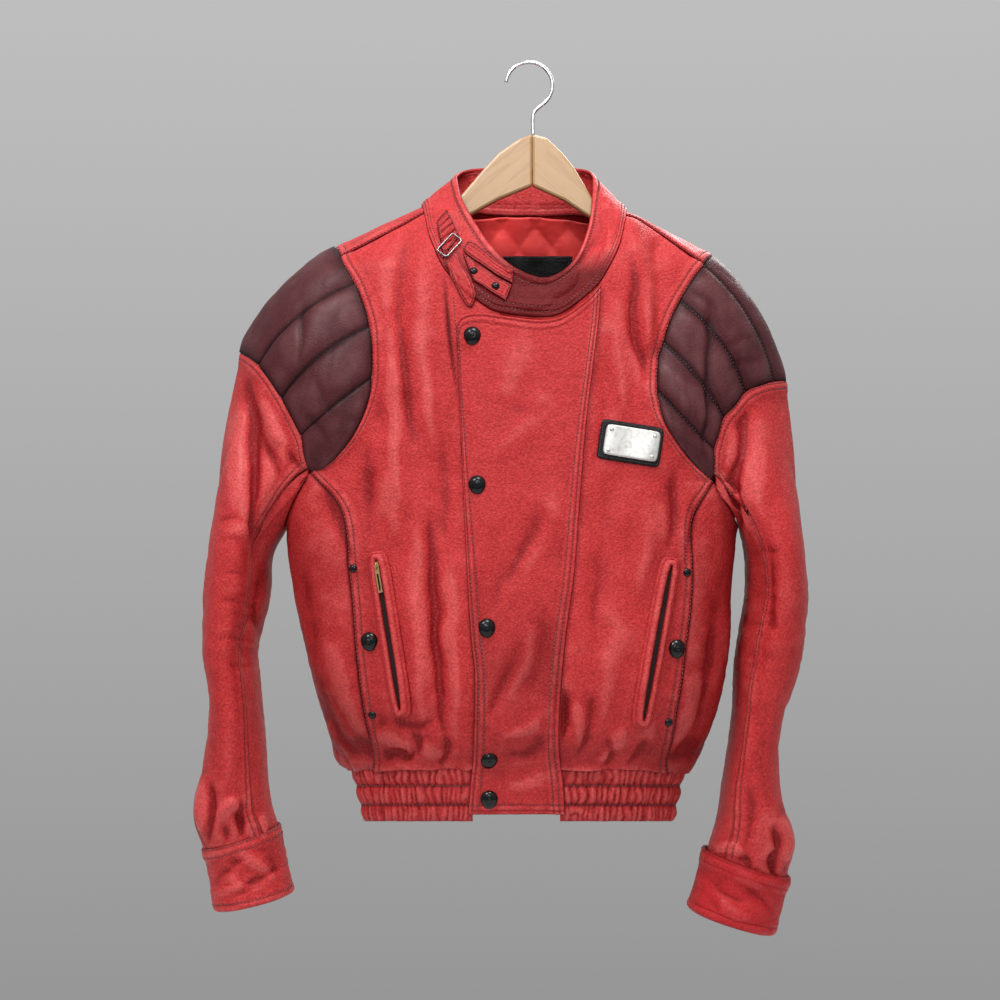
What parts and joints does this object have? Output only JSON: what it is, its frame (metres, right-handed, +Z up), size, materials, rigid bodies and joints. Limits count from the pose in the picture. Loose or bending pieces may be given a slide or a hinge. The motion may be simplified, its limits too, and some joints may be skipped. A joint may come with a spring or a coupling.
{
  "type": "leather motorcycle jacket on a wooden hanger",
  "caption": "Waist-length leather motorcycle jacket with quilted shoulder caps and gathered hem, closed by a snap flap and hung on a wooden hanger with a wire hook.",
  "frame": {"origin": "inside top of the hook's bend, where a rod or peg carries the hanger", "axes": "+X is the viewer's right (the wearer's left), -Y is the jacket's front, +Z is up"},
  "size_m": [0.6241, 0.2206, 0.8967],
  "materials": {
    "red_leather": "pebbled red leather with a soft gloss, creased where it folds",
    "maroon_leather": "dark maroon leather, quilted and slightly worn on its ridges",
    "red_lining": "bright red satin lining, quilted in diamonds",
    "black_leather": "smooth black leather",
    "black_enamel": "black enamelled metal, glossy",
    "brass": "aged brass",
    "steel": "plated steel, lightly brushed",
    "pale_wood": "pale varnished wood",
    "zip_tape": "woven dark red zip tape"
  },
  "bodies": {
    "jacket": {"back": "red_leather", "chest_plate": "steel", "chest_plate_backing": "black_leather", "collar": "red_leather", "collar_buckle": "steel", "collar_strap_carrier": "red_leather", "collar_strap_tongue": "red_leather", "collar_stud_1": "black_enamel", "collar_stud_2": "black_enamel", "collar_tab": "red_leather", "collar_tab_foot": "red_leather", "cuff_left": "red_leather", "cuff_right": "red_leather", "elbow_patch_left": "red_leather", "elbow_patch_right": "red_leather", "flap_snap_1": "black_enamel", "flap_snap_2": "black_enamel", "flap_snap_3": "black_enamel", "flap_snap_4": "black_enamel", "flap_snap_5": "black_enamel", "front_flap": "red_leather", "front_left": "red_leather", "front_right": "red_leather", "hanger_arm_left": "pale_wood", "hanger_arm_right": "pale_wood", "hanger_hook": "steel", "hem_band_back": "red_leather", "hem_band_left": "red_leather", "hem_band_right": "red_leather", "neck_label": "black_leather", "neck_lining": "red_lining", "pocket_rivet_1": "black_enamel", "pocket_rivet_2": "black_enamel", "pocket_rivet_3": "black_enamel", "pocket_rivet_4": "black_enamel", "pocket_snap_1": "black_enamel", "pocket_snap_2": "black_enamel", "pocket_welt_left": "red_leather", "pocket_welt_right": "red_leather", "pocket_zip_left": "zip_tape", "pocket_zip_right": "zip_tape", "shoulder_cap_left": "maroon_leather", "shoulder_cap_right": "maroon_leather", "side_left": "red_leather", "side_right": "red_leather", "sleeve_left_under": "red_leather", "sleeve_left_upper": "red_leather", "sleeve_right_under": "red_leather", "sleeve_right_upper": "red_leather", "zip_bail": "brass", "zip_slider": "brass"},
    "zip_pull_tab": {"zip_pull": "brass"}
  },
  "joints": [
    {"name": "zip_pull_swing", "type": "hinge", "parent": "jacket", "child": "zip_pull_tab", "pos_m": [-0.15178, -0.09978, -0.51374], "axis": [-0.9736, 0.1455, -0.1761], "range_deg": [0, 150]}
  ]
}
